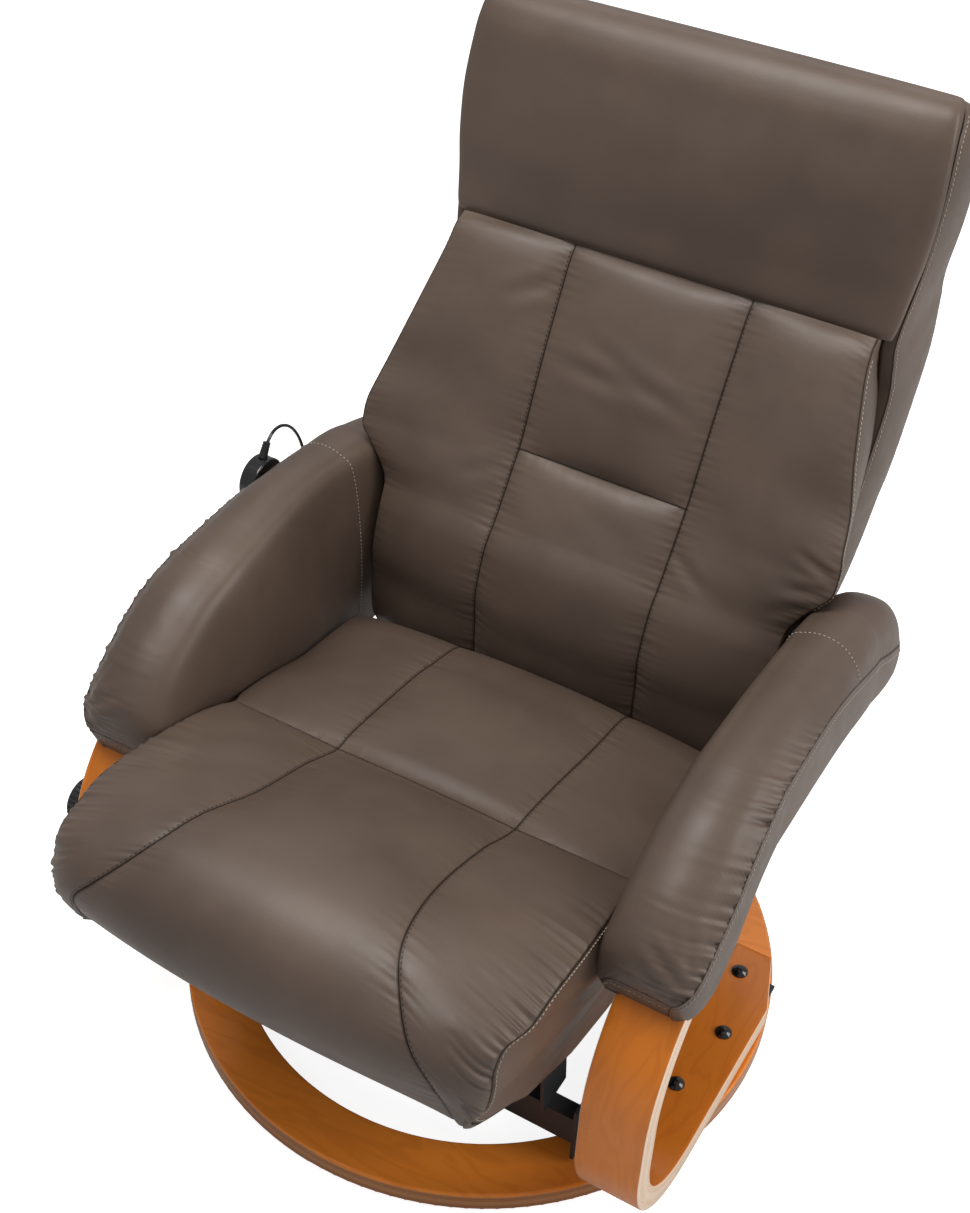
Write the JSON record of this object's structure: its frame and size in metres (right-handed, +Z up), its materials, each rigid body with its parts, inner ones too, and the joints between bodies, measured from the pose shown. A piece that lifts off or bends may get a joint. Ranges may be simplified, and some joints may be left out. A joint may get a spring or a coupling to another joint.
{
  "type": "massage recliner chair",
  "caption": "Home swivel recliner with bentwood side frames on a round base, sewn leather cushions, recline lock knob, vibration motors and a corded handset.",
  "frame": {"origin": "where the swivel axis meets the floor", "axes": "+Z up, the sitter faces -Y, +X is the side at the right of someone facing the chair"},
  "size_m": [0.75, 0.952, 1.0182],
  "materials": {
    "brown_leather": "smooth semi-gloss with fine grain",
    "birch_veneer": "honey-stained clear lacquer, laminated edges pale",
    "plain_plywood": "raw sanded",
    "black_steel": "satin powder coat",
    "plated_steel": "bright zinc plate",
    "white_nylon": "moulded",
    "black_plastic": "fine texture",
    "gloss_black_plastic": "gloss",
    "green_board": "lacquered circuit board",
    "inlet_plastic": "moulded socket",
    "black_rubber": "smooth",
    "black_webbing": "woven elastic",
    "grey_buttons": "soft touch"
  },
  "bodies": {
    "base": {"base_ring": "birch_veneer", "foot_beam": "black_steel", "foot_screws": "plated_steel", "floor_glides": "black_rubber", "swivel_spigot": "plated_steel", "thrust_washer": "white_nylon", "swivel_retainer": "plated_steel"},
    "swivel_frame": {"arm_pad_left": "brown_leather", "arm_pad_right": "brown_leather", "side_frame_left": "birch_veneer", "side_frame_right": "birch_veneer", "arm_board_left": "plain_plywood", "arm_board_right": "plain_plywood", "swivel_hub": "black_steel", "front_cross_tube": "black_steel", "rear_cross_tube": "black_steel", "side_bracket_left": "black_steel", "side_bracket_right": "black_steel", "hinge_plate_left": "black_steel", "hinge_plate_right": "black_steel", "seat_support_left": "black_steel", "seat_support_right": "black_steel", "frame_bolts": "plated_steel", "wood_screws": "plated_steel", "hinge_pins": "plated_steel", "swivel_bushes": "white_nylon", "control_box": "black_plastic", "box_lid": "black_plastic", "handset_pocket": "black_plastic", "cord_gland": "black_plastic", "bolt_caps": "gloss_black_plastic", "handset_outer": "gloss_black_plastic", "handset_inner": "gloss_black_plastic", "handset_board": "green_board", "power_inlet": "inlet_plastic", "strain_relief": "black_rubber", "handset_cord": "black_rubber"},
    "seat": {"seat_cushion": "brown_leather", "seat_frame": "black_steel", "seat_webbing": "black_webbing", "seat_motors": "black_plastic", "seat_slider_left": "black_steel", "seat_slider_right": "black_steel"},
    "backrest": {"back_frame": "black_steel", "back_shell": "brown_leather", "back_board": "plain_plywood", "back_cushion": "brown_leather", "back_motors": "black_plastic", "headrest_pad": "brown_leather", "side_plate_left": "black_steel", "side_plate_right": "black_steel", "hinge_bushes": "white_nylon", "link_bar": "plated_steel"},
    "lock": {"lock_stud": "plated_steel", "lock_knob": "black_plastic"},
    "button_power_body": {"button_power": "grey_buttons"},
    "button_mode_body": {"button_mode": "grey_buttons"},
    "button_time_body": {"button_time": "grey_buttons"},
    "button_back_body": {"button_back": "grey_buttons"},
    "button_seat_body": {"button_seat": "grey_buttons"}
  },
  "joints": [
    {"name": "swivel", "type": "hinge", "parent": "base", "child": "swivel_frame", "pos_m": [0, 0, 0], "axis": [0, 0, 1], "continuous": true},
    {"name": "recline", "type": "hinge", "parent": "swivel_frame", "child": "backrest", "pos_m": [0, 0.228, 0.396], "axis": [-1, 0, 0], "range_deg": [0, 25]},
    {"name": "seat_slide", "type": "slide", "parent": "swivel_frame", "child": "seat", "axis": [0, -0.9659, 0.2588], "range_m": [0, 0.046]},
    {"name": "lock_turn", "type": "hinge", "parent": "swivel_frame", "child": "lock", "pos_m": [0, -0.226, 0.25], "axis": [-1, 0, 0], "range_deg": [0, 150]},
    {"name": "button_power_press", "type": "slide", "parent": "swivel_frame", "child": "button_power_body", "axis": [1, 0, 0], "range_m": [0, 0.0008], "stiffness_N_per_m": 900, "springref_m": -0.0012},
    {"name": "button_mode_press", "type": "slide", "parent": "swivel_frame", "child": "button_mode_body", "axis": [1, 0, 0], "range_m": [0, 0.0008], "stiffness_N_per_m": 900, "springref_m": -0.0012},
    {"name": "button_time_press", "type": "slide", "parent": "swivel_frame", "child": "button_time_body", "axis": [1, 0, 0], "range_m": [0, 0.0008], "stiffness_N_per_m": 900, "springref_m": -0.0012},
    {"name": "button_back_press", "type": "slide", "parent": "swivel_frame", "child": "button_back_body", "axis": [1, 0, 0], "range_m": [0, 0.0008], "stiffness_N_per_m": 900, "springref_m": -0.0012},
    {"name": "button_seat_press", "type": "slide", "parent": "swivel_frame", "child": "button_seat_body", "axis": [1, 0, 0], "range_m": [0, 0.0008], "stiffness_N_per_m": 900, "springref_m": -0.0012}
  ],
  "couplings": [
    {"joint": "seat_slide", "follows": "recline", "m_per_rad": 0.105}
  ]
}
